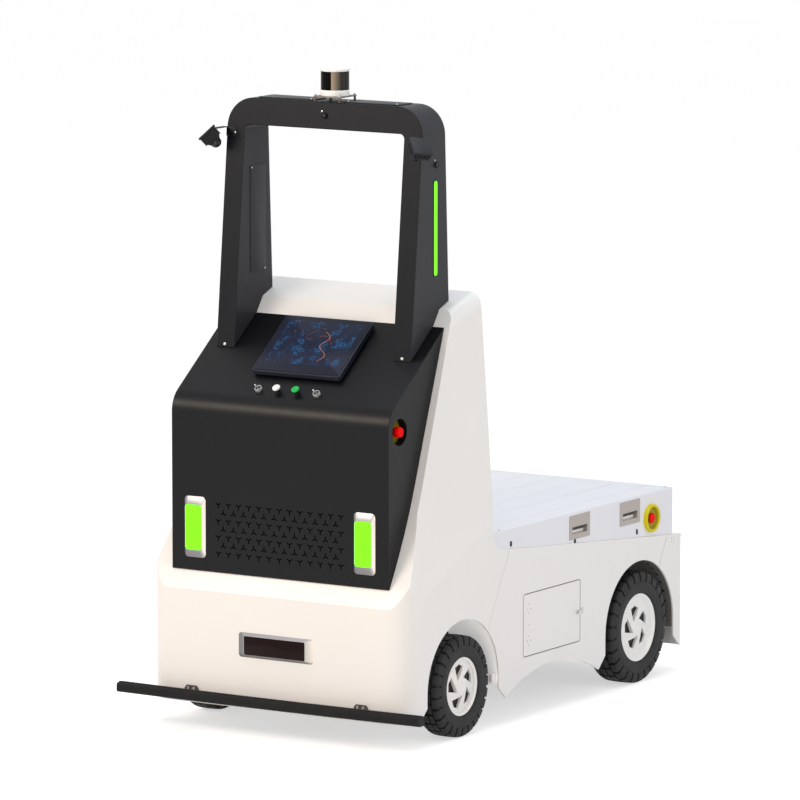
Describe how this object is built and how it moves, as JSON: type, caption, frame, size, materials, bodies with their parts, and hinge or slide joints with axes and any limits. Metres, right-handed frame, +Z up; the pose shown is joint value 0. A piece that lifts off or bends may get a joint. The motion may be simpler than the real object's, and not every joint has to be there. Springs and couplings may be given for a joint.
{
  "type": "driverless airport tow tractor",
  "caption": "Low driverless tow tractor with a white cowl, a black sloping console under a sensor arch, a flat hinged load deck, steered front wheels and a rear towing jaw.",
  "frame": {"origin": "on the ground, under the middle of the whole length and width", "axes": "+Z up, -Y to the front, +X to the vehicle's left"},
  "size_m": [1.4798, 2.422, 2.7299],
  "materials": {
    "white_paint": "gloss",
    "deck_paint": "satin",
    "black_paint": "satin",
    "arch_paint": "satin",
    "frame_paint": "satin",
    "axle_iron": "rough",
    "steel": "brushed",
    "bright_trim": "polished",
    "rim_alloy": "painted",
    "tyre": "matte",
    "bumper_rubber": "matte",
    "battery_case": "matte",
    "guard_plastic": "matte",
    "sensor_black": "matte",
    "lamp_green": "glowing",
    "lamp_red": "gloss",
    "stop_red": "gloss",
    "stop_yellow": "gloss",
    "button_white": "gloss",
    "button_green": "gloss",
    "screen_glass": "gloss",
    "scanner_window": "gloss"
  },
  "bodies": {
    "chassis": {"front_cowl": "white_paint", "console_cover": "black_paint", "grille_panel": "black_paint", "console_stop_discs": "stop_yellow", "console_stop_heads": "stop_red", "head_lamp_frames": "bright_trim", "head_lamp_lenses": "lamp_green", "display_frame": "bright_trim", "display_screen": "screen_glass", "tablet_case": "black_paint", "tablet_screen": "screen_glass", "key_switches": "steel", "white_button": "button_white", "green_button": "button_green", "bumper": "bumper_rubber", "bumper_brackets": "steel", "side_panel_left": "white_paint", "side_panel_right": "white_paint", "rear_panel": "white_paint", "deck_hinges": "steel", "chassis_frame": "frame_paint", "battery_pack": "battery_case", "front_wheel_liners": "white_paint", "rear_mudguards": "guard_plastic", "front_axle_beam": "axle_iron", "rear_drive_axle": "axle_iron", "sensor_arch": "arch_paint", "arch_covers": "arch_paint", "arch_light_strips": "lamp_green", "arch_cameras": "sensor_black", "scanner_stand": "steel", "scanner_housing": "rim_alloy", "scanner_window": "scanner_window", "corner_sensors": "sensor_black", "corner_brackets": "arch_paint", "tow_hitch": "frame_paint", "rear_lamps": "lamp_red"},
    "deck_lid": {"deck_lid": "deck_paint", "deck_handles": "steel", "deck_stop_dishes": "stop_yellow", "deck_stop_heads": "stop_red"},
    "side_door_left": {"side_door_left": "white_paint"},
    "side_door_right": {"side_door_right": "white_paint"},
    "knuckle_left": {"knuckle_left": "axle_iron"},
    "knuckle_right": {"knuckle_right": "axle_iron"},
    "tie_rod": {"tie_rod": "steel"},
    "wheel_front_left": {"tyre_front_left": "tyre", "rim_front_left": "rim_alloy"},
    "wheel_front_right": {"tyre_front_right": "tyre", "rim_front_right": "rim_alloy"},
    "wheel_rear_left": {"tyre_rear_left": "tyre", "rim_rear_left": "rim_alloy"},
    "wheel_rear_right": {"tyre_rear_right": "tyre", "rim_rear_right": "rim_alloy"}
  },
  "joints": [
    {"name": "lid_hinge", "type": "hinge", "parent": "chassis", "child": "deck_lid", "pos_m": [0, -0.437, 0.803], "axis": [1, 0, 0], "range_deg": [0, 60]},
    {"name": "door_left_hinge", "type": "hinge", "parent": "chassis", "child": "side_door_left", "pos_m": [0.64, -0.213, 0.3925], "axis": [0, 0, -1], "range_deg": [0, 100]},
    {"name": "door_right_hinge", "type": "hinge", "parent": "chassis", "child": "side_door_right", "pos_m": [-0.64, -0.213, 0.3925], "axis": [0, 0, 1], "range_deg": [0, 100]},
    {"name": "steer_left", "type": "hinge", "parent": "chassis", "child": "knuckle_left", "pos_m": [0.49, -0.689, 0.212], "axis": [0, 0, 1], "range_deg": [-30, 30]},
    {"name": "steer_right", "type": "hinge", "parent": "chassis", "child": "knuckle_right", "pos_m": [-0.49, -0.689, 0.212], "axis": [0, 0, 1], "range_deg": [-30, 30]},
    {"name": "tie_rod_pivot", "type": "hinge", "parent": "knuckle_left", "child": "tie_rod", "pos_m": [0.49, -0.569, 0.166], "axis": [0, 0, 1], "range_deg": [-30, 30]},
    {"name": "spin_front_left", "type": "hinge", "parent": "knuckle_left", "child": "wheel_front_left", "pos_m": [0.585, -0.689, 0.212], "axis": [1, 0, 0], "continuous": true},
    {"name": "spin_front_right", "type": "hinge", "parent": "knuckle_right", "child": "wheel_front_right", "pos_m": [-0.585, -0.689, 0.212], "axis": [1, 0, 0], "continuous": true},
    {"name": "spin_rear_left", "type": "hinge", "parent": "chassis", "child": "wheel_rear_left", "pos_m": [0.574, 0.756, 0.242], "axis": [1, 0, 0], "continuous": true},
    {"name": "spin_rear_right", "type": "hinge", "parent": "chassis", "child": "wheel_rear_right", "pos_m": [-0.574, 0.756, 0.242], "axis": [1, 0, 0], "continuous": true}
  ],
  "couplings": [
    {"joint": "steer_right", "follows": "steer_left", "ratio": 1},
    {"joint": "tie_rod_pivot", "follows": "steer_left", "ratio": -1}
  ]
}
